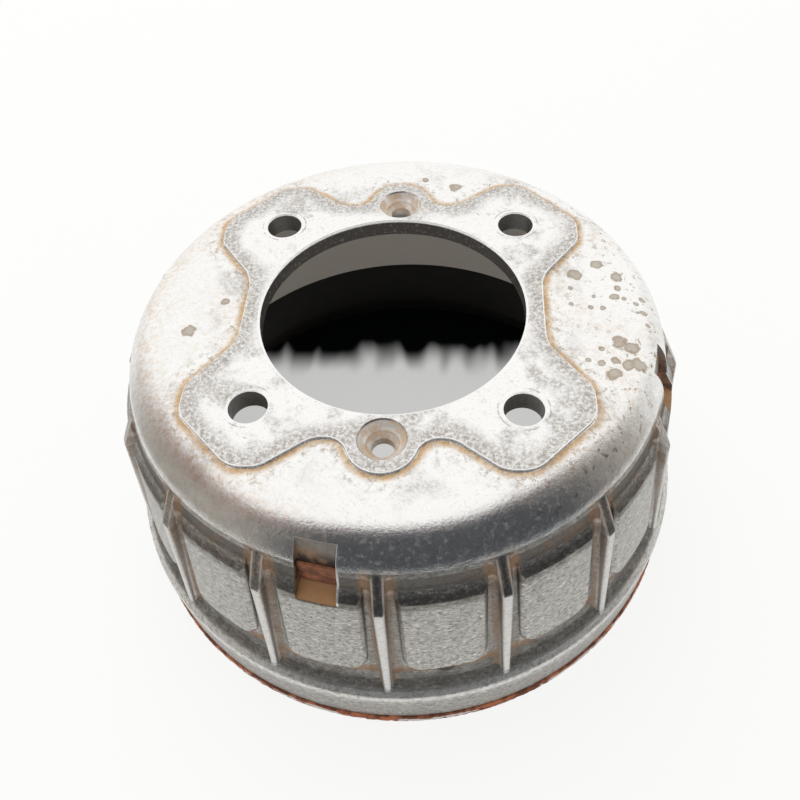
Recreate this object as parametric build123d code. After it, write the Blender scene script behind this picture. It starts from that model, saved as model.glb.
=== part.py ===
from build123d import *
import math
import os

# Brake drum: an aluminium casting with an iron friction ring cast into it.
# All lengths are millimetres. The origin is the centre of the open mouth,
# and +Z points to the wheel face. A depth is measured down from the wheel
# face, and a height is measured up from the mouth.

# Sizes that the hub and the brake shoes set
overall_height = 91.5
friction_radius = 80.0
friction_width = 42.6
centre_bore_radius = 41.0
stud_circle_diameter = 110.0

# Wheel face: a raised machined pad on a flat cast web
pad_height = 1.0
web_thickness = 6.0
pad_edge_round = 0.4
bore_top_chamfer = 0.5
bore_bottom_chamfer = 1.4

# Wheel stud holes
stud_count = 4
stud_hole_radius = 5.75
stud_hole_chamfer = 0.4

# Countersunk holes for the two retaining screws, just outside the bore
screw_count = 2
screw_bore_distance = 8.6
screw_hole_radius = 3.3
screw_mouth_radius = 7.1
screw_mouth_depth = 2.0
screw_land_outer_radius = 5.5
screw_land_inner_radius = 4.75
screw_land_drop = 0.6
screw_seat_depth = 3.2
screw_seat_radius = 4.5

# Outline of the raised pad, one quadrant of a shape that repeats in all four.
# The waists and valleys keep clear of the bore, and the lobes surround the studs.
waist_border = 5.3
waist_corner_height = 14.0
waist_corner_round = 14.0
lobe_side_border = 20.0
lobe_side_below = 8.0
lobe_side_above = 2.3
lobe_side_round = 8.0
lobe_corner_round = 9.0
lobe_top_border = 20.2
lobe_top_outwards = 2.6
lobe_top_inwards = 5.9
lobe_top_round = 8.0
valley_border = 8.0
valley_corner = 19.4
valley_corner_round = 9.0
screw_lobe_offset = 1.1
screw_lobe_radius = 10.0
screw_lobe_round = 6.5

# Outside of the casting, each step outwards from the one above it
shoulder_radius = 14.0
shoulder_wall = 1.1
step_depth = 12.0
ledge_width = 0.6
ledge_drop = 2.2
wall_spread = 6.7
wall_foot_height = 25.3
flange_ledge_width = 2.8
flange_top_height = 22.6
flange_flare = 1.8
flange_bend_drop = 2.2
flange_bend_inset = 0.3
flange_draft = 0.8
flange_bottom_chamfer = 0.4

# Ribs down the outer wall
rib_count = 16
rib_knee_stand = 4.27
rib_knee_depth = 24.5
rib_facet_slope = 0.483
rib_knee_width = 3.3
rib_foot_width = 2.3
rib_root_round = 2.2
rib_root_sink = 0.15
rib_edge_chamfer = 0.5
rib_overlap = 1.5

# Raised panels between the ribs
panel_ramp_depth = 17.6
panel_top_stand = 2.23
panel_top_depth = 22.9
panel_bottom_stand = 1.73
panel_bottom_height = 32.5
panel_width = 25.0
panel_corner_round = 5.5
panel_edge_chamfer = 1.2
panel_overlap = 1.0

# Pockets that open the shoulder and show the ring behind
pocket_count = 4
pocket_angle = -101.25
pocket_width = 11.5
pocket_top_depth = 5.0
pocket_floor_depth = 22.3
pocket_floor_slope = 0.55
pocket_back_sink = 0.8
pocket_back_lean = 2.0

# Iron friction ring
ring_top_depth = 14.0
ring_wall = 3.0
skirt_step = 6.0
skirt_wall = 2.2
friction_edge_chamfer = 0.8
mouth_step = 3.4
mouth_recess_depth = 9.5
mouth_wall = 2.5
lip_inset = 0.2
lip_thickness = 3.1
lip_chamfer = 0.5
ridge_count = 4
ridge_pitch = 7.0
ridge_width = 2.5
ridge_height = 1.0
first_ridge_height = 40.0

# Inside of the casting above the ring
inner_wall_inset = 1.5
inner_corner_round = 5.0

# Stock that a cut removes, and how far a cut runs past the surface it opens
bore_stock = 1.0
cut_overrun = 1.0

# Levels worked out from the sizes above
face_level = overall_height - pad_height
web_level = face_level - web_thickness
step_level = overall_height - step_depth
ledge_level = step_level - ledge_drop
ring_top = overall_height - ring_top_depth
friction_bottom = ring_top - friction_width

# Radii worked out from the friction face outwards
inner_wall_radius = friction_radius - inner_wall_inset
ring_outer_radius = friction_radius + ring_wall
skirt_radius = friction_radius + skirt_step
skirt_outer_radius = skirt_radius + skirt_wall
mouth_recess_radius = skirt_radius + mouth_step
mouth_outer_radius = mouth_recess_radius + mouth_wall
step_radius = ring_outer_radius + shoulder_wall
ledge_radius = step_radius + ledge_width
wall_foot_radius = ledge_radius + wall_spread
flange_top_radius = wall_foot_radius + flange_ledge_width
flange_radius = flange_top_radius + flange_flare
flange_bottom_radius = flange_radius - flange_draft
lip_radius = flange_radius - lip_inset
pocket_back_radius = ring_outer_radius - pocket_back_sink

# Places on the wheel face
stud_offset = stud_circle_diameter / 2 / math.sqrt(2)
screw_circle_radius = centre_bore_radius + screw_bore_distance
bay_angle = 360 / rib_count


def line_radius(level, start, end):
    """Radius at a level on the straight line between two (radius, level) points."""
    share = (level - start[1]) / (end[1] - start[1])
    return start[0] + share * (end[0] - start[0])


def ground_radius(level):
    """Radius of the plain outer wall between the ribs."""
    return line_radius(level, (ledge_radius, ledge_level), (wall_foot_radius, wall_foot_height))


def around(shape, count, first_angle=0.0):
    """Copies of a shape spread evenly about the drum's axis."""
    return [Rot(0, 0, first_angle + index * 360 / count) * shape for index in range(count)]


def turned(points):
    """A solid turned about the drum's axis from (radius, level) points."""
    return revolve(Plane.XZ * make_face(Polyline(*points, close=True)), Axis.Z)


def ring_seat():
    """Surface that the ring and the casting share, from the mouth upwards."""
    points = [
        (mouth_outer_radius, lip_thickness),
        (mouth_outer_radius, mouth_recess_depth + mouth_wall),
        (skirt_outer_radius, mouth_recess_depth + 2 * mouth_wall),
        (skirt_outer_radius, friction_bottom - skirt_wall),
        (ring_outer_radius, friction_bottom + ring_wall),
    ]
    for index in range(ridge_count):
        ridge = first_ridge_height + index * ridge_pitch
        points += [
            (ring_outer_radius, ridge),
            (ring_outer_radius + ridge_height, ridge + ridge_height / 2),
            (ring_outer_radius + ridge_height, ridge + ridge_width - ridge_height / 2),
            (ring_outer_radius, ridge + ridge_width),
        ]
    points.append((ring_outer_radius, ring_top))
    return points


def casting_shell():
    """The plain turned form of the casting, with its shoulder, ledge and flange."""
    shoulder_drop = face_level - step_level
    shoulder_reach = math.sqrt(shoulder_radius**2 - (shoulder_radius - shoulder_drop) ** 2)
    shoulder_start = step_radius - shoulder_reach
    middle = math.asin(shoulder_reach / shoulder_radius) / 2
    shoulder_middle = (
        shoulder_start + shoulder_radius * math.sin(middle),
        face_level - shoulder_radius * (1 - math.cos(middle)),
    )
    bend_level = flange_top_height - flange_bend_drop
    core_radius = centre_bore_radius - bore_stock
    inner_start = inner_wall_radius - inner_corner_round
    inner_middle = (
        inner_start + inner_corner_round * math.sin(math.pi / 4),
        web_level - inner_corner_round * (1 - math.cos(math.pi / 4)),
    )

    def at(radius, level):
        return (radius, 0, level)

    outside = [
        at(step_radius, step_level),
        at(ledge_radius, ledge_level),
        at(wall_foot_radius, wall_foot_height),
        at(flange_top_radius, flange_top_height),
        at(flange_radius - flange_bend_inset, bend_level),
        at(flange_radius, bend_level - flange_bend_drop),
        at(flange_bottom_radius, lip_thickness + flange_bottom_chamfer),
        at(flange_bottom_radius - flange_bottom_chamfer, lip_thickness),
    ]
    outline = Curve() + [
        Line(at(core_radius, face_level), at(shoulder_start, face_level)),
        ThreePointArc(at(shoulder_start, face_level), at(*shoulder_middle), outside[0]),
        Polyline(*outside, *[at(*point) for point in ring_seat()], at(inner_wall_radius, ring_top)),
        Line(at(inner_wall_radius, ring_top), at(inner_wall_radius, web_level - inner_corner_round)),
        ThreePointArc(
            at(inner_wall_radius, web_level - inner_corner_round),
            at(*inner_middle),
            at(inner_start, web_level),
        ),
        Line(at(inner_start, web_level), at(core_radius, web_level)),
        Line(at(core_radius, web_level), at(core_radius, face_level)),
    ]
    return revolve(make_face(outline), Axis.Z)


def pad_outline():
    """The pad seen from above: four stud lobes, two waists and two screw lobes."""
    waist = centre_bore_radius + waist_border
    valley = centre_bore_radius + valley_border
    side = stud_offset + lobe_side_border
    top = stud_offset + lobe_top_border
    corners = [
        (waist, waist_corner_height, waist_corner_round),
        (side, stud_offset - lobe_side_below, lobe_side_round),
        (side, stud_offset + lobe_side_above, lobe_corner_round),
        (stud_offset + lobe_top_outwards, top, lobe_corner_round),
        (stud_offset - lobe_top_inwards, top, lobe_top_round),
        (valley_corner, valley, valley_corner_round),
    ]
    loop = list(corners)
    loop += [(-x, y, radius) for x, y, radius in reversed(corners)]
    loop += [(-x, -y, radius) for x, y, radius in corners]
    loop += [(x, -y, radius) for x, y, radius in reversed(corners)]
    core = make_face(
        FilletPolyline(
            *[(x, y) for x, y, radius in loop],
            radius=[radius for x, y, radius in loop],
            close=True,
        )
    )
    lobe_centre = screw_circle_radius + screw_lobe_offset
    lobes = [Pos(0, sign * lobe_centre) * Circle(screw_lobe_radius) for sign in (1, -1)]
    outline = core + lobes
    joins = [corner for corner in outline.vertices() if abs(corner.X) < screw_lobe_radius]
    return fillet(joins, screw_lobe_round)


def wheel_pad():
    """The raised pad, rounded along its upper edge."""
    pad = Pos(0, 0, face_level - pad_height) * extrude(pad_outline(), 2 * pad_height)
    return fillet(pad.faces().sort_by(Axis.Z)[-1].edges(), pad_edge_round)


def rib_half_width(level):
    """Half the thickness of a rib, which narrows towards its foot."""
    knee = (rib_knee_width / 2, overall_height - rib_knee_depth)
    return line_radius(level, knee, (rib_foot_width / 2, flange_top_height))


def rib_front_radius(level):
    """Radius of a rib's front face."""
    knee_level = overall_height - rib_knee_depth
    knee = (ground_radius(knee_level) + rib_knee_stand, knee_level)
    return line_radius(level, knee, (flange_top_radius, flange_top_height))


def rib_root(top, bottom, sign):
    """The hollow fillet between one flank of a rib and the wall."""
    start = Vector(ground_radius(bottom), sign * rib_half_width(bottom), bottom)
    along = Vector(ground_radius(top), sign * rib_half_width(top), top) - start
    across = Plane(origin=start, x_dir=(along.Z, 0, -along.X), z_dir=along)
    size = rib_root_round
    edge = size - rib_root_sink
    middle = size * (1 - math.cos(math.pi / 4)) - rib_root_sink
    buried = -sign * rib_foot_width / 4
    section = Curve() + [
        ThreePointArc((-rib_root_sink, sign * edge), (middle, sign * middle), (edge, -sign * rib_root_sink)),
        Polyline(
            (edge, -sign * rib_root_sink),
            (edge, buried),
            (-rib_overlap, buried),
            (-rib_overlap, sign * edge),
            (-rib_root_sink, sign * edge),
        ),
    ]
    return extrude(across * make_face(section), along.length)


def rib():
    """One rib along +X: a narrowing blade, its two hollow roots and its sloping top facet."""
    top = step_level
    bottom = flange_top_height - rib_overlap
    knee_level = overall_height - rib_knee_depth
    knee_radius = rib_front_radius(knee_level)
    foot_radius = rib_front_radius(bottom)
    blade = prism(
        [
            (ground_radius(bottom) - rib_overlap, bottom),
            (foot_radius, bottom),
            (rib_front_radius(top), top),
            (ground_radius(top) - rib_overlap, top),
        ],
        2 * rib_knee_width,
    )
    front_view = Polyline(
        (-rib_half_width(bottom), bottom),
        (rib_half_width(bottom), bottom),
        (rib_half_width(top), top),
        (-rib_half_width(top), top),
        close=True,
    )
    blade &= extrude(Plane.YZ * make_face(front_view), foot_radius)
    long_edges = blade.edges().sort_by(SortBy.LENGTH)[-4:]
    blade = chamfer(long_edges.sort_by(Axis.X)[-2:], rib_edge_chamfer)
    blade += [rib_root(top, bottom, sign) for sign in (1, -1)]
    facet_cut = prism(
        [
            (knee_radius, knee_level),
            (knee_radius - rib_facet_slope * (ledge_level - knee_level), ledge_level),
            (step_radius - rib_root_sink, top),
            (step_radius - rib_root_sink, top + rib_overlap),
            (foot_radius, top + rib_overlap),
            (foot_radius, knee_level),
        ],
        2 * (rib_knee_width + 2 * rib_root_round),
    )
    return blade - facet_cut


def panel():
    """One raised panel, centred on +X, with a ramp above it."""
    ramp = overall_height - panel_ramp_depth
    top = overall_height - panel_top_depth
    bottom = panel_bottom_height
    foot_radius = ground_radius(bottom) + panel_bottom_stand
    layer = turned(
        [
            (ground_radius(ramp) - panel_overlap, ramp),
            (ground_radius(ramp), ramp),
            (ground_radius(top) + panel_top_stand, top),
            (foot_radius, bottom),
            (ground_radius(bottom) - panel_overlap, bottom),
        ]
    )
    height = ramp + panel_overlap - bottom
    window = Pos(0, bottom + height / 2) * Rectangle(panel_width, height)
    window = fillet(window.vertices().sort_by(Axis.Y)[:2], panel_corner_round)
    block = layer & extrude(Plane.YZ * window, foot_radius)
    face = block.faces().sort_by(Axis.X)[-1]
    return chamfer(face.edges(), panel_edge_chamfer)


def prism(points, width):
    """A block along +X from (radius, level) points, centred on the X-Z plane."""
    side = Plane.XZ * make_face(Polyline(*points, close=True))
    return extrude(side, width / 2, both=True)


def pocket_cut():
    """The rectangular space of one pocket."""
    top = overall_height - pocket_top_depth
    floor = overall_height - pocket_floor_depth
    lean = pocket_back_lean * (face_level - ring_top) / (top - ring_top)
    return prism(
        [
            (pocket_back_radius - lean, face_level),
            (pocket_back_radius, ring_top),
            (pocket_back_radius, floor + pocket_floor_slope * (ring_outer_radius - pocket_back_radius)),
            (flange_radius, floor - pocket_floor_slope * (flange_radius - ring_outer_radius)),
            (flange_radius, face_level),
        ],
        pocket_width,
    )


def screw_hole():
    """One stepped countersunk hole, on the drum's own axis."""
    land = overall_height - screw_mouth_depth
    return turned(
        [
            (0, overall_height + cut_overrun),
            (screw_mouth_radius, overall_height + cut_overrun),
            (screw_mouth_radius, overall_height),
            (screw_land_outer_radius, land),
            (screw_land_inner_radius, land - screw_land_drop),
            (screw_seat_radius, overall_height - screw_seat_depth),
            (screw_hole_radius, overall_height - screw_seat_depth - screw_seat_radius + screw_hole_radius),
            (screw_hole_radius, web_level - cut_overrun),
            (0, web_level - cut_overrun),
        ]
    )


def stud_hole():
    """One plain through hole with a lightly chamfered top, on the drum's own axis."""
    return turned(
        [
            (0, overall_height + cut_overrun),
            (stud_hole_radius + stud_hole_chamfer + cut_overrun, overall_height + cut_overrun),
            (stud_hole_radius, overall_height - stud_hole_chamfer),
            (stud_hole_radius, web_level - cut_overrun),
            (0, web_level - cut_overrun),
        ]
    )


def centre_bore():
    """The central hole with a chamfer at each end."""
    return turned(
        [
            (0, overall_height + cut_overrun),
            (centre_bore_radius + bore_top_chamfer + cut_overrun, overall_height + cut_overrun),
            (centre_bore_radius, overall_height - bore_top_chamfer),
            (centre_bore_radius, web_level + bore_bottom_chamfer),
            (centre_bore_radius + bore_bottom_chamfer + cut_overrun, web_level - cut_overrun),
            (0, web_level - cut_overrun),
        ]
    )


def drum_casting():
    """The whole aluminium casting."""
    stud_angle = 180 / stud_count
    stud_place = Pos(stud_circle_diameter / 2, 0, 0) * stud_hole()
    screw_place = Pos(0, screw_circle_radius, 0) * screw_hole()
    body = casting_shell()
    body += around(rib(), rib_count)
    body += around(panel(), rib_count, bay_angle / 2)
    body += wheel_pad()
    body -= around(pocket_cut(), pocket_count, pocket_angle)
    body -= around(stud_place, stud_count, stud_angle)
    body -= around(screw_place, screw_count)
    body -= centre_bore()
    return body


def friction_ring():
    """The iron ring, turned in one piece with its skirt and mouth lip."""
    inside = [
        (mouth_recess_radius, 0),
        (mouth_recess_radius, mouth_recess_depth),
        (skirt_radius, mouth_recess_depth),
        (skirt_radius, friction_bottom),
        (friction_radius + friction_edge_chamfer, friction_bottom),
        (friction_radius, friction_bottom + friction_edge_chamfer),
        (friction_radius, ring_top),
    ]
    outside = [
        (lip_radius - lip_chamfer, 0),
        (lip_radius, lip_chamfer),
        (lip_radius, lip_thickness - lip_chamfer),
        (lip_radius - lip_chamfer, lip_thickness),
    ] + ring_seat()
    return turned(inside + outside[::-1])


os.makedirs("parts", exist_ok=True)
export_step(drum_casting(), "parts/drum_casting.step")
export_step(friction_ring(), "parts/friction_ring.step")
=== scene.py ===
"""Brake drum: a ribbed light-alloy casting with an iron friction ring cast into it, lying mouth down."""

import math

import bpy
from bpy.props import FloatProperty, FloatVectorProperty, IntProperty, PointerProperty
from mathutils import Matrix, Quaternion, Vector, noise


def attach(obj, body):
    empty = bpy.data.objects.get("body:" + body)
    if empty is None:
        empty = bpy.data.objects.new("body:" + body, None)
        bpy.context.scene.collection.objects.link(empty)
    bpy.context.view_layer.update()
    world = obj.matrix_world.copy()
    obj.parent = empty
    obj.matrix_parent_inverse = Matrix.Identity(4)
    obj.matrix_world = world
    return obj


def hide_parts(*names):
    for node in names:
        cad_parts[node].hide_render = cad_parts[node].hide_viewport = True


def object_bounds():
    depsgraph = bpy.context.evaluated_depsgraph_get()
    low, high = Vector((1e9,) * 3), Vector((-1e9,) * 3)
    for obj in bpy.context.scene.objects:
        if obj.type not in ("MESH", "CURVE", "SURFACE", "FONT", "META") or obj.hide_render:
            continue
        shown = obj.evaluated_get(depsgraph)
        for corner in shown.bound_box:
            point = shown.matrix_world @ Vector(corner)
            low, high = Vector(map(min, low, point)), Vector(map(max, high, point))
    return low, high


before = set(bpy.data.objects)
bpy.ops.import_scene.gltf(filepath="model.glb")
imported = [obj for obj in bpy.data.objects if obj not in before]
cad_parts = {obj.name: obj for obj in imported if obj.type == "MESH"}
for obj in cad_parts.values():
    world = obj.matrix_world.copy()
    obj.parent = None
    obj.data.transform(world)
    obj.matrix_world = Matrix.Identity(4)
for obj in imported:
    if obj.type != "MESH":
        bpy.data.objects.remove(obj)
CAD_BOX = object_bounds()

bl_info = {
    "name": "Brake Drum",
    "version": (1, 0, 0),
    "blender": (4, 5, 0),
    "location": "View3D > Sidebar > Brake Drum",
    "description": "Dresses the brake drum with its worn metal finishes and sets it on a studio floor",
    "category": "Object",
}

# Lengths in the materials and profiles are millimetres, as MM turns metres into them
MM = 0.001
HEIGHT = CAD_BOX[1][2] / MM
RIB_PITCH = math.radians(22.5)
POCKET_ANGLE = math.radians(-101.25)
STUD_OFFSET = 38.891
SCREW_OFFSET = 49.6
MOUTH_INSIDE = 92.5
MOUTH_OUTSIDE = 95.0
FLOOR_RAYS = ("Is Camera Ray", "Is Glossy Ray", "Is Transmission Ray")


def shade(code):
    """A colour written as a web code, as the linear values that Blender keeps."""
    parts = [int(code[i:i + 2], 16) / 255 for i in (0, 2, 4)]
    return tuple(p / 12.92 if p <= 0.04045 else ((p + 0.055) / 1.055) ** 2.4 for p in parts)


def colour_property(name, description, code):
    """A colour setting, with its default as a web code."""
    return FloatVectorProperty(
        name=name, description=description, default=shade(code), subtype="COLOR", size=3, min=0, max=1
    )


def length_property(name, description, default, low=0.0, high=10.0):
    """A length setting in metres."""
    return FloatProperty(
        name=name, description=description, default=default, min=low, max=high, unit="LENGTH"
    )


class DrumCastingLook(bpy.types.PropertyGroup):
    # Also the colour of the painted highlights on rib noses, the flange bend, facet edges, pocket edges and
    # worn rims.
    bright: colour_property("Bright alloy", "Clean light alloy on the wheel face and shoulder", "fbfaf7")
    # The grey skin is darker partly as painted shade on the side wall.
    grey: colour_property("Grey skin", "Oxidised casting skin on the side wall", "b4b1aa")
    tide: colour_property("Tide mark", "Grey film inside the edge of the raised pad", "968c82")
    # Also used as painted shade and painted dark reflection in hollows, holes, crevices and on the front of
    # the shoulder.
    dirt_and_shade: colour_property("Dirt", "Dry grey-brown dirt in hollows", "504a43")
    tan: colour_property("Tan stain", "Stain beside the raised pad", "d4ab76")
    rust: colour_property("Rust stain", "Rust washed into corners and pockets", "b08459")
    # Also used as painted shade deep in the bore, the pockets and the countersinks.
    dark: colour_property("Dark stain", "Oldest rust and grease in the deepest corners", "382a20")
    water: colour_property("Water spot", "Dried drops on the wheel face", "948064")
    grain: length_property("Grain size", "Size of one grain of the cast skin", 0.0009, 0.0001)
    roughness: FloatProperty(
        name="Roughness", description="Roughness of the cast skin", default=0.22, min=0, max=1
    )


class DrumRingLook(bpy.types.PropertyGroup):
    iron: colour_property("Worn iron", "Friction face that the shoes run on", "cfc8be")
    # Painted shade: the inside of the skirt is painted almost black for the shade in it.
    shadow: colour_property("Iron in painted shade", "Unworn inside of the skirt", "1c2222")
    rust: colour_property("Rust", "Loose rust on the mouth lip", "dc8a60")
    deep: colour_property("Deep rust", "Rust under the flakes", "7c4630")
    # Pale patches on the lip: bare iron between the rust, painted almost white as a highlight.
    glint_flake: colour_property("Pale flake", "Pale scale that clings to the rust", "f1ece6")
    relief: length_property("Scale relief", "How far the rust scale stands proud", 0.0002, 0.0, 0.0002)
    around: IntProperty(name="Steps round", description="Faces round the ring", default=1440, min=96)


class DrumStudio(bpy.types.PropertyGroup):
    camera_place: FloatVectorProperty(
        name="Camera place", description="Where the camera stands", size=3, subtype="TRANSLATION",
        unit="LENGTH", default=(0.021746, -0.185187, 0.280095),
    )
    camera_target: FloatVectorProperty(
        name="Camera target", description="Point that the camera looks at", size=3,
        subtype="TRANSLATION", unit="LENGTH", default=(0.000084, -0.000600, 0.0465),
    )
    camera_roll: FloatProperty(
        name="Camera roll", description="Lean of the picture", subtype="ANGLE", default=math.radians(4.788)
    )
    lens: FloatProperty(name="Lens", description="Focal length in millimetres", default=38.54, min=10)
    floor: colour_property("Floor", "Plain pale floor", "fefefd")
    # Painted shadow: floor colour under the far part of the drum.
    shaded_floor: colour_property("Shaded floor", "Far part of the floor under the drum", "15191b")
    floor_lift: FloatProperty(
        name="Floor lift", description="How far the seen floor is evened out to white",
        default=0.87, min=0, max=1,
    )
    sky: FloatProperty(
        name="Sky light", description="Strength of the soft light all round", default=0.58, min=0
    )
    key: FloatProperty(
        name="Key lamp", description="Power of the large soft lamp", default=13.0, unit="POWER"
    )
    flag: colour_property("Dark card", "Card in front that dims the front reflections", "44474c")
    side_flag: colour_property("Grey card", "Ends of the card, which grey the reflections there", "a39d95")
    high_flag: colour_property("Card top", "Top of the card, a little warmer", "9c8688")


class Field:
    """A number, colour or vector that varies over the surface."""

    def __init__(self, paint, socket):
        self.paint = paint
        self.socket = socket

    def __add__(self, other):
        return self.paint.math("ADD", self, other)

    def __sub__(self, other):
        return self.paint.math("SUBTRACT", self, other)

    def __rsub__(self, other):
        return self.paint.math("SUBTRACT", other, self)

    def __mul__(self, other):
        return self.paint.math("MULTIPLY", self, other)

    def __truediv__(self, other):
        return self.paint.math("DIVIDE", self, other)

    __radd__ = __add__
    __rmul__ = __mul__

    def __abs__(self):
        return self.paint.math("ABSOLUTE", self)

    def least(self, other, blend=0.0):
        return self.paint.math("SMOOTH_MIN", self, other, blend)

    def most(self, other, blend=0.0):
        return self.paint.math("SMOOTH_MAX", self, other, blend)

    def rise(self, low, high):
        """0 below low, 1 above high, and smooth between; it falls where low is the larger."""
        return self.paint.node(
            "ShaderNodeMapRange",
            {"Value": self, "From Min": low, "From Max": high},
            interpolation_type="SMOOTHSTEP",
        )

    def band(self, low, high, soft):
        """1 between low and high, with soft edges of that width outside them."""
        return self.rise(low - soft, low) * self.rise(high + soft, high)


class Paint:
    """One material, built from short formulas in millimetres."""

    def __init__(self, name):
        self.material = bpy.data.materials.new(name)
        self.material.use_nodes = True
        self.tree = self.material.node_tree
        self.tree.nodes.clear()

    def node(self, kind, sockets=None, output=0, **settings):
        made = self.tree.nodes.new(kind)
        for key, value in settings.items():
            setattr(made, key, value)
        for key, value in (sockets or {}).items():
            self.connect(value, made.inputs[key])
        return Field(self, made.outputs[output])

    def connect(self, value, socket):
        if isinstance(value, Field):
            self.tree.links.new(value.socket, socket)
        elif socket.type == "RGBA":
            socket.default_value = (*value[:3], 1)
        else:
            socket.default_value = value

    def math(self, operation, *values):
        return self.node("ShaderNodeMath", dict(enumerate(values)), operation=operation)

    def mix(self, amount, first, second):
        """Blend of two colours."""
        return self.node("ShaderNodeMix", {0: amount, 6: first, 7: second}, output=2, data_type="RGBA")

    def mix_value(self, amount, first, second):
        """Blend of two plain numbers."""
        return self.node("ShaderNodeMix", {0: amount, 2: first, 3: second})

    def place(self):
        """Position on the drum in millimetres, with its parts, radius and angle."""
        metres = self.node("ShaderNodeTexCoord", output=3)
        self.spot = self.node("ShaderNodeVectorMath", {0: metres, 3: 1 / MM}, operation="SCALE")
        self.x, self.y, self.z = (self.node("ShaderNodeSeparateXYZ", {0: self.spot}, i) for i in range(3))
        self.radius = self.math("SQRT", self.x * self.x + self.y * self.y)
        self.angle = self.math("ARCTAN2", self.y, self.x)
        self.depth = HEIGHT - self.z
        normal = self.node("ShaderNodeTexCoord", output=1)
        self.up = self.node("ShaderNodeSeparateXYZ", {0: normal}, 2)

    def stretched(self, along, across, upward):
        """Position unrolled round the axis, so that a pattern can run along the wall."""
        return self.node(
            "ShaderNodeCombineXYZ",
            {0: self.angle * along, 1: self.radius * across, 2: self.z * upward},
        )

    def noise(self, size, detail=4.0, roughness=0.6, at=None, offset=0.0, distortion=0.0):
        """Cloudy pattern whose patches are about size millimetres wide."""
        return self.node(
            "ShaderNodeTexNoise",
            {"Vector": at or self.spot, "Scale": 1 / size, "Detail": detail, "Roughness": roughness,
             "W": offset, "Distortion": distortion},
            noise_dimensions="4D",
        )

    def cavity(self, reach):
        """1 in a corner or hollow, 0 in the open."""
        open_sky = self.node(
            "ShaderNodeAmbientOcclusion", {"Distance": reach * MM}, output=1, samples=8, only_local=True
        )
        return 1 - open_sky

    def metal(self, colour, metallic, roughness, height, strength, distance, edge=None, worn_highlight_rim=None):
        """Finish the material with one metal shader and its bump.

        edge is the radius that edges look rounded to, and where worn_highlight_rim is set the normal leans
        up, so those edges catch the sky like a face turned up."""
        bump = {"Height": height, "Strength": strength, "Distance": distance * MM}
        if edge:
            rounded = self.node("ShaderNodeBevel", {"Radius": edge * MM}, samples=4)
            leaned = self.node(
                "ShaderNodeMix", {0: worn_highlight_rim, 4: rounded, 5: (0, 0, 1)}, output=1, data_type="VECTOR"
            )
            bump["Normal"] = self.node("ShaderNodeVectorMath", {0: leaned}, operation="NORMALIZE")
        surface = self.node(
            "ShaderNodeBsdfPrincipled",
            {"Base Color": colour, "Metallic": metallic, "Roughness": roughness,
             "Normal": self.node("ShaderNodeBump", bump)},
        )
        return self.cover(surface)

    def cover(self, surface):
        """Put a finished shader on the surface."""
        end = self.tree.nodes.new("ShaderNodeOutputMaterial")
        self.tree.links.new(surface.socket, end.inputs["Surface"])
        return self.material


def from_pad_edge(paint):
    """Distance in millimetres from the outline of the raised pad, negative inside it."""
    x = abs(paint.x)
    y = abs(paint.y)
    body = (x - 46.3).most(y - 49.0)
    corner = (x - 58.9).most((x + y) * 0.7071 - 70.9, 3.7).most(y - 59.1, 3.7)
    side_flank = (x - 46.3) * 0.8017 - (y - 14.0) * 0.5977
    top_flank = (y - 49.0) * 0.8028 - (x - 19.4) * 0.5962
    lobe = corner.most(side_flank, 3.0).most(top_flank, 3.0)
    lift = y - 50.7
    screw = paint.math("SQRT", x * x + lift * lift) - 10.0
    return body.least(lobe, 4.0).least(screw, 8.0)


WATER_SPOTS = (
    (63.8, 20.2, 1.8), (56.6, 15.3, 2.2), (69.4, 14.8, 1.9), (69.4, 9.3, 1.0), (70.9, 4.8, 0.8),
    (68.0, 5.7, 1.4), (61.8, 5.9, 0.7), (60.7, 1.1, 1.0), (64.0, 0.9, 0.9), (54.7, 2.6, 0.8),
    (55.0, 9.7, 0.9), (68.1, -12.5, 2.4), (70.9, -14.9, 2.2), (66.0, -20.3, 1.6), (69.4, -21.6, 1.9),
    (72.6, -21.2, 2.4), (64.8, -25.3, 2.4), (61.7, -21.2, 0.9), (62.3, -15.8, 0.9), (58.0, -20.0, 0.8),
    (76.4, 6.0, 1.1), (74.3, 3.3, 0.9), (76.3, -0.3, 1.0), (77.2, -4.8, 0.9), (-62.4, -9.3, 2.2),
    (-53.4, 3.5, 1.4), (19.0, 60.0, 2.2), (8.0, 64.0, 1.2),
)


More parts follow.
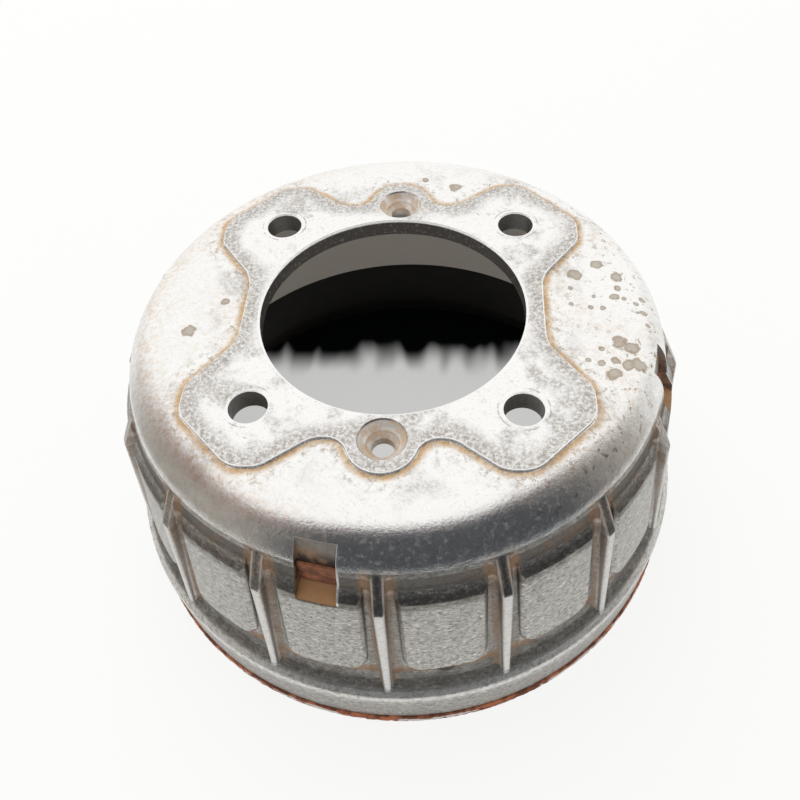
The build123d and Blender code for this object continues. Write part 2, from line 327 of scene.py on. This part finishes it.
def casting_material(look):
    """The worn skin of the casting, painted from the top down by depth, angle and distance."""
    paint = Paint("worn_cast_alloy")
    paint.place()
    fine = paint.noise(look.grain / MM, 3.0, 0.7)
    brushed = paint.noise(look.grain / MM, 4.0, 0.75, at=paint.stretched(58.0, 1.0, 1.0))
    crumb = paint.noise(1.7, 5.0, 0.75, offset=2.0)
    grit = paint.noise(1.1, 4.0, 0.8, offset=11.0)
    mottle = paint.noise(4.5, 6.0, 0.66)
    cloud = paint.noise(22.0, 5.0, 0.6, offset=3.0)
    smear = paint.noise(7.0, 5.0, 0.62, offset=9.0, distortion=0.6)
    depth = paint.depth
    # Ambient occlusion, used for grime and painted shade in crevices.
    crevice_dirt_and_shade = paint.cavity(3.0)
    edge_distance = from_pad_edge(paint)

    on_top = paint.up.rise(0.55, 0.9) * depth.rise(9.0, 3.0)
    on_pad = depth.rise(0.75, 0.35)
    on_face = on_top * (1 - on_pad)
    on_side = depth.rise(11.9, 12.4)
    rib_gap = paint.math("PINGPONG", paint.angle, RIB_PITCH / 2) * paint.radius
    off_rib = rib_gap.rise(1.4, 2.0)
    pocket_turn = paint.angle - POCKET_ANGLE
    pocket_gap = paint.math("PINGPONG", pocket_turn, math.pi / 4) * paint.radius

    # Side wall and flange are grey, partly oxidised skin and partly painted shade; the wheel face and
    # shoulder are nearly white
    colour = paint.mix(on_side, look.bright, look.grey)
    speck = paint.mix_value(on_side, fine.rise(0.54, 0.66) * 0.2, brushed.rise(0.49, 0.6))
    colour = paint.mix(speck * 0.62, colour, look.dirt_and_shade)
    drawn = paint.noise(1.0, 4.0, 0.75, at=paint.stretched(55.0, 0.8, 1.8), offset=6.0)
    colour = paint.mix(drawn.rise(0.5, 0.64) * on_side * 0.62, colour, look.bright)
    shoulder = depth.rise(1.8, 4.0) * (1 - on_side) * paint.y.rise(40.0, -10.0)
    # Painted dark reflection: the front of the shoulder is darkened in mottled patches.
    front_shoulder_dark_reflection = shoulder * (0.2 + 0.4 * mottle.rise(0.35, 0.65)) * (0.5 + 0.5 * crumb.rise(0.4, 0.6))
    blotch = mottle.rise(0.5, 0.72) * on_side * 0.3
    colour = paint.mix(blotch.most(front_shoulder_dark_reflection * 0.5), colour, look.dirt_and_shade)
    # Painted highlights: the rib noses and the flange bend are lightened toward the clean alloy colour.
    rib_nose_highlight = rib_gap.rise(1.7, 1.4) * depth.band(24.8, 67.5, 0.4)
    flange_bend_highlight = depth.band(68.8, 72.6, 0.9) * (0.4 + 0.6 * crumb.rise(0.42, 0.55))
    colour = paint.mix((rib_nose_highlight * 0.5).most(flange_bend_highlight * 0.55), colour, look.bright)
    # Darker down the flange, in brushed streaks.
    lower_flange_darkening = depth.rise(73.5, 77.0) * (0.2 + 0.3 * brushed.rise(0.4, 0.6))
    colour = paint.mix(lower_flange_darkening, colour, look.dirt_and_shade)

    # Hollow under the ledge and band above the flange, darkened by grime and painted shade; dusty ramps;
    # facets and ramps with a polish, darkened a little as painted dark reflection
    recess = depth.band(14.4, 18.4, 0.8)
    low_band = depth.band(60.2, 68.2, 0.8) * (0.3 + 0.35 * mottle.rise(0.35, 0.6))
    # Grime and painted shade in the hollow under the ledge and the band above the flange.
    hollow = (recess * 0.8).most(low_band) * off_rib
    colour = paint.mix(hollow, colour, look.dirt_and_shade)
    facet = rib_gap.rise(1.25, 1.0) * depth.band(12.8, 24.2, 0.3)
    facet_edge_highlight = rib_gap.band(1.35, 1.7, 0.15) * depth.band(13.4, 24.6, 0.6)
    ramp = depth.band(19.2, 22.7, 0.5) * off_rib
    polish_and_painted_reflection = facet.most(ramp * (0.55 + 0.45 * mottle.rise(0.6, 0.4)))
    # Painted dark reflection: the facets and ramps are darkened a little.
    colour = paint.mix(polish_and_painted_reflection * 0.2, colour, look.dirt_and_shade)
    # Painted highlight along the edges of the rib facets.
    colour = paint.mix(facet_edge_highlight * 0.8, colour, look.bright)
    # Painted shade at the foot of the ramps, over the top of the panels.
    ramp_foot_shade = depth.band(21.5, 24.4, 2.2) * off_rib
    colour = paint.mix(ramp_foot_shade * (0.3 + 0.4 * mottle.rise(0.35, 0.6)), colour, look.dirt_and_shade)
    ramp_dust = depth.band(18.6, 22.6, 0.6) * off_rib * (0.1 + 0.3 * grit.rise(0.46, 0.62))

    # Rust washed down beside the ribs and along the foot of the wall, with painted shade in the corners
    # beside the ribs and grime and painted shade in crevices
    streak = smear.rise(0.38, 0.6)
    beside = rib_gap.band(2.0, 2.6, 1.2) * depth.band(13.4, 66.0, 2.0)
    # Painted shade in the corners beside the ribs.
    rib_root_shade = rib_gap.band(2.0, 4.6, 1.0) * depth.band(22.0, 61.0, 2.0)
    colour = paint.mix(rib_root_shade * 0.45, colour, look.dirt_and_shade)
    top_patch = rib_gap.band(1.9, 4.0, 1.8) * depth.band(13.6, 19.0, 4.0)
    foot = depth.band(58.7, 61.4, 0.8) * (0.65 + 0.35 * streak) * off_rib
    washed = (beside * (0.3 + 0.5 * streak)).most(top_patch * (0.5 + 0.5 * streak)).most(foot)
    washed = washed * (0.45 + 0.55 * grit.rise(0.38, 0.6))
    colour = paint.mix(washed * 0.75, colour, look.rust)
    recess_rust = recess * cloud.rise(0.46, 0.62) * crumb.rise(0.4, 0.6) * off_rib
    colour = paint.mix(recess_rust * 0.3, colour, look.rust)
    # Grime and painted shade in the crevices of the side wall, from ambient occlusion.
    colour = paint.mix(crevice_dirt_and_shade.rise(0.4, 0.9) * on_side * 0.45, colour, look.dirt_and_shade)
    drip = paint.node(
        "ShaderNodeVectorMath", {0: paint.spot, 1: (17.6, -88.0, 30.6)}, output=1, operation="DISTANCE"
    )
    colour = paint.mix((drip + mottle * 2.0).rise(4.6, 3.2) * 0.8, colour, look.dark)

    # Stain outside the pad and the grey film inside its edge
    ragged = edge_distance + (mottle - 0.5) * 3.4 + (crumb - 0.5) * 2.6
    halo = ragged.rise(2.8, 0.7) * edge_distance.rise(0.1, 0.4) * on_face
    colour = paint.mix(halo * (0.6 + 0.35 * streak), colour, look.tan)
    colour = paint.mix(halo * grit.rise(0.46, 0.6) * 0.45, colour, look.water)
    fringe = edge_distance.rise(9.0, 2.0) * on_face * mottle.rise(0.42, 0.6)
    colour = paint.mix(fringe * crumb.rise(0.48, 0.58) * 0.65, colour, look.water)
    haze = paint.noise(15.0, 5.0, 0.62, offset=14.0).rise(0.5, 0.66)
    haze = haze * edge_distance.rise(22.0, 4.0) * on_face
    colour = paint.mix(haze * (0.25 + 0.75 * grit.rise(0.4, 0.6)) * 0.5, colour, look.tide)
    tide = (edge_distance + (cloud - 0.5) * 14.0 + (mottle - 0.5) * 4.0).rise(-7.5, -2.0)
    patch = paint.noise(13.0, 4.0, 0.6, offset=5.0).rise(0.5, 0.64)
    film = tide.most(patch * 0.85) * (0.2 + 0.8 * grit.rise(0.38, 0.6)) * on_pad
    colour = paint.mix(film * 0.8, colour, look.tide)
    fleck = mottle.rise(0.54, 0.66) * crumb.rise(0.5, 0.6) * on_pad
    colour = paint.mix(fleck * 0.5, colour, look.water)
    worn_highlight_rim = edge_distance.band(-0.6, 1.6, 0.2) * depth.band(0.04, 0.94, 0.03)

    # Faint tan bloom, small specks and dried drops on the cast face
    outer = paint.radius.rise(66.0, 80.0)
    sides = abs(paint.x).rise(15.0, 50.0)
    bloom = (cloud.rise(0.44, 0.6) * sides * 0.4).most(outer * paint.x.rise(10.0, -50.0) * 0.8) * on_face
    colour = paint.mix(bloom * crumb.rise(0.42, 0.6) * 0.55, colour, look.tan)
    pepper = paint.noise(2.4, 4.0, 0.7, offset=7.0).rise(0.57, 0.64)
    peppered = on_face.most(shoulder * depth.rise(9.0, 6.0)) * paint.x.rise(30.0, 65.0)
    colour = paint.mix(pepper * peppered * (0.4 + 0.5 * outer), colour, look.water)
    drops = []
    for place_x, place_y, size in WATER_SPOTS:
        across = paint.x - place_x
        along = paint.y - place_y
        off = paint.math("SQRT", across * across + along * along)
        off = off + (mottle + crumb * 0.4 - 0.7) * size * 2.6
        drops.append(off.rise(size * 1.15, size * 0.85) * (off.rise(size * 0.3, size) * 0.2 + 0.6))
    wet = drops[0]
    for drop in drops[1:]:
        wet = wet.most(drop)
    colour = paint.mix(wet * on_top, colour, look.water)

    # Rusty pockets that darken deeper in as painted shade, holes darkened by grime and painted shade, and
    # the unseen inside painted dark as shade
    in_pocket = pocket_gap.rise(6.05, 5.74) * depth.band(5.2, 24.9, 0.4) * paint.radius.rise(79.0, 79.5)
    pocket_floor = paint.up.rise(0.3, 0.7) * depth.rise(19.0, 20.0)
    # Rust and painted shade in the pockets, darker deeper in.
    pocket_rust_and_shade = paint.mix(depth.rise(8.0, 12.5), look.tide, look.dark)
    pocket_rust_and_shade = paint.mix(crumb.rise(0.35, 0.65) * 0.4, pocket_rust_and_shade, look.dirt_and_shade)
    pocket_rust_and_shade = paint.mix(depth.rise(7.0, 10.0) * mottle.rise(0.44, 0.6) * 0.6, pocket_rust_and_shade, look.rust)
    pocket_rust_and_shade = paint.mix(pocket_floor * (0.8 + 0.2 * mottle.rise(0.3, 0.5)), pocket_rust_and_shade, look.rust)
    colour = paint.mix(in_pocket, colour, pocket_rust_and_shade)
    # Painted highlight along the right-hand edge of each pocket.
    turn_side = paint.math("SINE", pocket_turn * 4).rise(0.0, 0.1)
    pocket_edge_highlight = turn_side * pocket_gap.band(5.85, 6.35, 0.12) * depth.band(5.5, 24.0, 1.0)
    colour = paint.mix(pocket_edge_highlight * 0.8, colour, look.bright)
    # Painted shade over the unseen inside of the casting.
    inside = depth.rise(7.1, 7.4) * paint.radius.rise(79.6, 79.0)
    colour = paint.mix(inside * 0.8, colour, look.dirt_and_shade)
    # Grime and painted shade on the bore wall, darker further down.
    bore = paint.radius.rise(41.9, 41.3) * depth.rise(0.6, 0.9)
    colour = paint.mix(bore * (0.95 - 0.4 * grit.rise(0.54, 0.64)), colour, look.dirt_and_shade)
    colour = paint.mix(bore * (0.3 + 0.5 * depth.rise(5.3, 5.7)), colour, look.dark)
    hole_x = abs(paint.x) - STUD_OFFSET
    hole_y = abs(paint.y) - STUD_OFFSET
    stud = paint.math("SQRT", hole_x * hole_x + hole_y * hole_y)
    # Grime and painted shade inside the stud holes.
    in_stud = stud.rise(6.0, 5.8) * depth.rise(0.4, 0.7)
    colour = paint.mix(in_stud * (0.7 + 0.3 * crumb), colour, look.dirt_and_shade)
    witness = stud.band(7.2, 7.4, 0.25) * on_pad * mottle.rise(0.48, 0.56)
    colour = paint.mix(witness * 0.4, colour, look.dirt_and_shade)
    screw_y = abs(paint.y) - SCREW_OFFSET
    screw = paint.math("SQRT", paint.x * paint.x + screw_y * screw_y)
    sink = screw.rise(7.2, 6.9) * depth.rise(0.3, 0.6)
    colour = paint.mix(sink * (0.05 + 0.25 * streak), colour, look.tide)
    colour = paint.mix(sink * mottle.rise(0.38, 0.58) * 0.6, colour, look.tan)
    # Grime and painted shade in the corners of the screw countersinks.
    colour = paint.mix(sink * crevice_dirt_and_shade.rise(0.55, 1.0) * 0.5, colour, look.dark)

    # Edges round the pad, the bore and the stud holes, worn pale and lightened further as a painted
    # highlight; the rest takes its metal and roughness from how soiled it is
    bore_rim = paint.radius.band(40.9, 41.6, 0.1)
    stud_rim = stud.band(5.8, 6.25, 0.1)
    worn_highlight_rim = worn_highlight_rim.most(bore_rim.most(stud_rim) * depth.rise(0.62, 0.52))
    colour = paint.mix(worn_highlight_rim, colour, look.bright)

    soiled = hollow.most(halo * 0.8).most(in_pocket).most(washed).most(sink * 0.95)
    soiled = soiled.most(bore * 0.9).most(in_stud * 0.8).most(ramp_dust) * (1 - worn_highlight_rim)
    dust = crumb.rise(0.5, 0.66) * shoulder
    metallic = 0.97 - 0.75 * soiled - 0.1 * speck - 0.1 * film - 0.2 * dust
    metallic = metallic * (1 - worn_highlight_rim * (1 - on_pad))
    roughness = look.roughness + 0.16 * on_side * (1 - polish_and_painted_reflection) + 0.25 * soiled + 0.1 * film
    height = fine * (0.7 - 0.2 * on_side) + crumb * (0.7 + 0.5 * shoulder) + mottle * 0.8 * on_side
    edge = 0.15 + 0.75 * on_side
    return paint.metal(colour, metallic, roughness, height, 0.45, 0.22, edge=edge, worn_highlight_rim=worn_highlight_rim)


def ring_material(look):
    """Worn friction face, skirt painted almost black as shade, and rusty lip of the iron ring."""
    paint = Paint("worn_cast_iron")
    paint.place()
    fine = paint.noise(0.8, 4.0, 0.65)
    mottle = paint.noise(5.0, 6.0, 0.65)
    smear = paint.noise(2.0, 5.0, 0.6, at=paint.stretched(12.0, 1.0, 3.0))
    scratches = paint.noise(1.0, 3.0, 0.6, at=paint.stretched(9.0, 1.0, 7.0))
    glint_flake = paint.node("ShaderNodeAttribute", output=2, attribute_name="glint_flake")

    friction = paint.radius.rise(80.7, 80.2) * (1 - paint.radius.rise(79.8, 79.2))
    skirt = paint.radius.band(80.9, 92.0, 0.2)
    lip = paint.radius.rise(92.0, 92.4).most(paint.z.rise(0.6, 0.2))
    colour = paint.mix(mottle.rise(0.35, 0.65), look.rust, look.deep)
    colour = paint.mix(friction, colour, look.iron)
    colour = paint.mix(friction * scratches.rise(0.56, 0.7) * smear.rise(0.5, 0.6) * 0.4, colour, look.deep)
    # Painted shade over the skirt.
    colour = paint.mix(skirt * (0.96 + 0.04 * smear), colour, look.shadow)
    pocket_gap = paint.math("PINGPONG", paint.angle - POCKET_ANGLE, math.pi / 4) * paint.radius
    # Ring seen through the pockets: rust over painted shade.
    behind = paint.radius.rise(81.9, 82.1) * paint.z.rise(66.0, 66.5) * pocket_gap.rise(6.5, 6.0)
    behind_rust_over_shade = 0.25 + 0.4 * mottle.rise(0.4, 0.65)
    colour = paint.mix(behind, colour, paint.mix(behind_rust_over_shade, look.shadow, look.rust))
    colour = paint.mix(lip, colour, paint.mix(mottle.rise(0.56, 0.4) * 0.8, look.deep, look.rust))
    colour = paint.mix(lip * fine.rise(0.58, 0.7) * 0.5, colour, look.deep)
    # Painted highlight on the pale patches of the lip.
    colour = paint.mix(lip * glint_flake, colour, look.glint_flake)

    metallic = friction * 0.3
    roughness = 0.78 - friction * 0.33 + fine * 0.1
    height = fine * (0.25 + lip * 0.75) + scratches * friction * 0.3
    return paint.metal(colour, metallic, roughness, height, 0.5, 0.2)


def ring_profile():
    """Outline of the ring as (radius, height) in millimetres, from the mouth up inside and down outside."""
    inside = [
        (89.4, 0.5), (89.4, 5.0), (89.4, 9.5), (86.0, 9.5), (86.0, 18.0), (86.0, 26.5), (86.0, 34.9),
        (80.8, 34.9), (80.4, 35.3), (80.0, 35.7), (80.0, 49.0), (80.0, 63.0), (80.0, 77.5),
    ]
    outside = [(83.0, 77.5)]
    for foot in (61.0, 54.0, 47.0, 40.0):
        outside += [(83.0, foot + 2.5), (84.0, foot + 2.0), (84.0, foot + 0.5), (83.0, foot)]
    outside += [(83.0, 37.9), (88.2, 32.7), (88.2, 14.5), (91.9, 12.0), (91.9, 3.1)]
    return inside + outside


def lip_profile():
    """Finely stepped outline of the mouth lip, from its top outwards, down and in again."""
    steps = 0.27
    corners = [(91.9, 3.1), (95.3, 3.1), (95.8, 2.6), (95.8, 0.5), (95.3, 0.0), (89.8, 0.0), (89.4, 0.5)]
    points = []
    for (r0, z0), (r1, z1) in zip(corners, corners[1:]):
        flat = abs(z1 - z0) < 0.01
        count = max(1, round(math.hypot(r1 - r0, z1 - z0) / (0.8 if flat else steps)))
        points += [(r0 + (r1 - r0) * i / count, z0 + (z1 - z0) * i / count) for i in range(1, count)]
        points.append((r1, z1))
    return points[:-1]


def scale_height(x, y, z):
    """Rust scale at a point in millimetres: relief from 0 to 1, and how much of it is a pale patch, painted
    almost white as a highlight.
    """
    spot = Vector((x, y, z * 1.6))
    plates = noise.noise(spot * 0.42 + Vector((7, 3, 1)))
    crumbs = noise.noise(spot * 1.4)
    edge = min(1.0, max(0.0, (plates + 0.18) / 0.12))
    relief = 0.4 + 0.35 * edge + 0.3 * crumbs
    streak = noise.noise(Vector((x * 0.11, y * 0.11, z * 0.45))) + 0.3 * noise.noise(spot * 0.5)
    low = min(1.0, max(0.0, (2.5 - z) / 0.3)) * min(1.0, max(0.0, (z - 0.35) / 0.2))
    pale = min(1.0, max(0.0, (streak + 0.15 * crumbs + 0.06) / 0.05)) * low
    return min(1.0, max(0.0, relief)), pale


def ring_mesh(look):
    """The ring as one closed turned mesh, with rust scale standing on its mouth lip."""
    plain = ring_profile()
    lip = lip_profile()
    profile = plain + lip
    first_lip = len(plain)
    count = look.around
    relief_mm = look.relief / MM
    points = []
    pale = []
    for step in range(count):
        angle = 2 * math.pi * step / count
        cos, sin = math.cos(angle), math.sin(angle)
        for index, (radius, level) in enumerate(profile):
            glint_flake = 0.0
            if index >= first_lip and radius > 92.6:
                rough, glint_flake = scale_height(radius * cos, radius * sin, level)
                if radius > 95.0 and level > 0.01:
                    radius += relief_mm * (2 * rough - 1)
                elif level > 1.0:
                    level -= 0.3 * rough
            points.append((radius * cos * MM, radius * sin * MM, level * MM))
            pale.append(glint_flake)
    width = len(profile)
    faces = []
    for step in range(count):
        here = step * width
        there = (step + 1) % count * width
        for index in range(width):
            after = (index + 1) % width
            faces.append((here + index, here + after, there + after, there + index))
    mesh = bpy.data.meshes.new("friction_ring_turned")
    mesh.from_pydata(points, [], faces)
    mesh.attributes.new("glint_flake", "FLOAT", "POINT").data.foreach_set("value", pale)
    mesh.update()
    mesh.shade_smooth()
    mesh.set_sharp_from_angle(angle=math.radians(32))
    return mesh


def add_object(name, data):
    """A new object in the scene."""
    made = bpy.data.objects.new(name, data)
    bpy.context.scene.collection.objects.link(made)
    return made


class OBJECT_OT_drum_casting(bpy.types.Operator):
    """Give the alloy casting its stained and worn skin"""

    bl_idname = "object.drum_casting"
    bl_label = "Dress casting"

    def execute(self, context):
        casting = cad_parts["drum_casting"]
        material = casting_material(context.scene.drum_casting)
        casting.data.materials.clear()
        casting.data.materials.append(material)
        return {"FINISHED"}


class OBJECT_OT_drum_ring(bpy.types.Operator):
    """Turn the iron ring with its rusty mouth lip"""

    bl_idname = "object.drum_ring"
    bl_label = "Make friction ring"

    def execute(self, context):
        look = context.scene.drum_ring
        mesh = ring_mesh(look)
        mesh.materials.append(ring_material(look))
        ring = add_object("friction_ring_turned", mesh)
        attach(ring, "root")
        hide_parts("friction_ring")
        return {"FINISHED"}


def seen_by_eye(paint):
    """1 for rays from the camera, a reflection or clear glass, 0 for light that falls on things."""
    rays = [paint.node("ShaderNodeLightPath", output=name) for name in FLOOR_RAYS]
    return rays[0].most(rays[1]).most(rays[2])


def plain_floor(look):
    """Wide pale floor, evened out to white where it is seen, with a painted shadow under the far part of
    the drum and a painted pool of light, partly glowing, under its front part.
    """
    size = 6.0
    mesh = bpy.data.meshes.new("studio_floor")
    corners = [(-size, -size, 0), (size, -size, 0), (size, size, 0), (-size, size, 0)]
    mesh.from_pydata(corners, [], [(0, 1, 2, 3)])
    paint = Paint("plain_floor")
    paint.place()
    open_floor = paint.radius.rise(MOUTH_INSIDE, MOUTH_OUTSIDE)
    stretched = paint.node("ShaderNodeCombineXYZ", {0: paint.x / 11.0, 1: paint.y / 50.0})
    fingers = paint.noise(1.0, 1.0, 0.4, at=stretched)
    # Painted pool of light under the front part of the drum, partly glowing, with painted shadow beyond it.
    painted_light_pool = (paint.y + fingers.rise(0.65, 0.38) * 7.0).rise(71.0, 54.0)
    colour = paint.mix(painted_light_pool.most(open_floor), look.shaded_floor, look.floor)
    matte = paint.node("ShaderNodeBsdfDiffuse", {"Color": colour})
    lift = paint.node("ShaderNodeEmission", {"Color": look.floor, "Strength": 1.0})
    share = seen_by_eye(paint) * paint.mix_value(open_floor, painted_light_pool * 0.5, look.floor_lift)
    mesh.materials.append(paint.cover(paint.node("ShaderNodeMixShader", {0: share, 1: matte, 2: lift})))
    add_object("studio_floor", mesh)


def front_card(look):
    """Card round the camera, seen only in reflections: dark in front, grey at its ends."""
    steps = 60
    start, end = math.radians(-215), math.radians(15)
    profile = ((0.185, 0.001), (0.37, 0.001), (0.37, 0.45), (0.37, 1.05))
    points = []
    for step in range(steps + 1):
        angle = start + (end - start) * step / steps
        points += [(radius * math.cos(angle), radius * math.sin(angle), level) for radius, level in profile]
    width = len(profile)
    faces = []
    for step in range(steps):
        for index in range(width - 1):
            corner = step * width + index
            faces.append((corner, corner + 1, corner + width + 1, corner + width))
    mesh = bpy.data.meshes.new("front_card")
    mesh.from_pydata(points, [], faces)
    paint = Paint("dark_card")
    paint.place()
    turn = paint.math("ARCTAN2", paint.x, -1 * paint.y)
    left = turn.rise(math.radians(-25), math.radians(-50))
    right = turn.rise(math.radians(55), math.radians(85))
    level = paint.z + 480.0 * left
    tone = paint.mix(left.most(right), look.flag, look.side_flag)
    tone = paint.mix(level.rise(560.0, 800.0) * 0.6, tone, look.high_flag)
    clear_left = turn.rise(math.radians(-85), math.radians(-120))
    clear_right = turn.rise(math.radians(85), math.radians(103))
    tone = paint.mix(clear_left.most(clear_right).most(level.rise(760.0, 1040.0)), tone, (1, 1, 1))
    glow = paint.node("ShaderNodeEmission", {"Color": tone, "Strength": 1.0})
    mesh.materials.append(paint.cover(glow))
    card = add_object("front_card", mesh)
    card.visible_camera = False
    card.visible_diffuse = False
    card.visible_shadow = False
    card.visible_transmission = False


def soft_world(look):
    """Soft light all round, white where the camera or a reflection sees it."""
    world = bpy.data.worlds.new("soft_sky")
    world.use_nodes = True
    tree = world.node_tree
    tree.nodes.clear()
    path = tree.nodes.new("ShaderNodeLightPath")
    seen = tree.nodes.new("ShaderNodeMath")
    seen.operation = "ADD"
    tree.links.new(path.outputs["Is Camera Ray"], seen.inputs[0])
    tree.links.new(path.outputs["Is Glossy Ray"], seen.inputs[1])
    level = tree.nodes.new("ShaderNodeMath")
    level.operation = "ADD"
    level.use_clamp = True
    tree.links.new(seen.outputs[0], level.inputs[0])
    tree.links.new(path.outputs["Is Transmission Ray"], level.inputs[1])
    strength = tree.nodes.new("ShaderNodeMapRange")
    strength.inputs["To Min"].default_value = look.sky
    strength.inputs["To Max"].default_value = 1.0
    tree.links.new(level.outputs[0], strength.inputs["Value"])
    back = tree.nodes.new("ShaderNodeBackground")
    back.inputs["Color"].default_value = (1, 1, 1, 1)
    tree.links.new(strength.outputs[0], back.inputs["Strength"])
    out = tree.nodes.new("ShaderNodeOutputWorld")
    tree.links.new(back.outputs[0], out.inputs["Surface"])
    bpy.context.scene.world = world


def key_lamp(look):
    """Large soft lamp above and behind the drum."""
    lamp = bpy.data.lights.new("key_lamp", "AREA")
    lamp.shape = "SQUARE"
    lamp.size = 1.4
    lamp.energy = look.key
    made = add_object("key_lamp", lamp)
    made.visible_glossy = False
    made.location = (-0.35, 0.75, 1.35)
    made.rotation_euler = (-made.location).to_track_quat("-Z", "Y").to_euler()


def picture_camera(look):
    """Camera at the photograph's angle."""
    lens = bpy.data.cameras.new("picture_camera")
    lens.lens = look.lens
    lens.sensor_fit = "HORIZONTAL"
    lens.sensor_width = 36.0
    lens.clip_start = 0.01
    camera = add_object("picture_camera", lens)
    camera.location = look.camera_place
    aim = Vector(look.camera_target) - Vector(look.camera_place)
    turn = aim.to_track_quat("-Z", "Y") @ Quaternion((0, 0, 1), -look.camera_roll)
    camera.rotation_euler = turn.to_euler()
    bpy.context.scene.camera = camera


class OBJECT_OT_drum_studio(bpy.types.Operator):
    """Lay the pale floor, hang the lights and set the camera"""

    bl_idname = "object.drum_studio"
    bl_label = "Set up studio"

    def execute(self, context):
        look = context.scene.drum_studio
        plain_floor(look)
        front_card(look)
        soft_world(look)
        key_lamp(look)
        picture_camera(look)
        context.scene.view_settings.view_transform = "Standard"
        return {"FINISHED"}


class VIEW3D_PT_brake_drum(bpy.types.Panel):
    """Steps and settings of the brake drum"""

    bl_label = "Brake Drum"
    bl_idname = "VIEW3D_PT_brake_drum"
    bl_space_type = "VIEW_3D"
    bl_region_type = "UI"
    bl_category = "Brake Drum"

    def draw(self, context):
        scene = context.scene
        for operator, group in (
            ("object.drum_casting", scene.drum_casting),
            ("object.drum_ring", scene.drum_ring),
            ("object.drum_studio", scene.drum_studio),
        ):
            column = self.layout.column()
            column.operator(operator)
            for name in group.__annotations__:
                column.prop(group, name)


CLASSES = (
    DrumCastingLook, DrumRingLook, DrumStudio,
    OBJECT_OT_drum_casting, OBJECT_OT_drum_ring, OBJECT_OT_drum_studio, VIEW3D_PT_brake_drum,
)


def register():
    for item in CLASSES:
        bpy.utils.register_class(item)
    bpy.types.Scene.drum_casting = PointerProperty(type=DrumCastingLook)
    bpy.types.Scene.drum_ring = PointerProperty(type=DrumRingLook)
    bpy.types.Scene.drum_studio = PointerProperty(type=DrumStudio)


def unregister():
    del bpy.types.Scene.drum_studio
    del bpy.types.Scene.drum_ring
    del bpy.types.Scene.drum_casting
    for item in reversed(CLASSES):
        bpy.utils.unregister_class(item)


def main():
    register()
    bpy.ops.object.drum_casting()
    bpy.ops.object.drum_ring()
    bpy.ops.object.drum_studio()


if __name__ == "__main__":
    main()
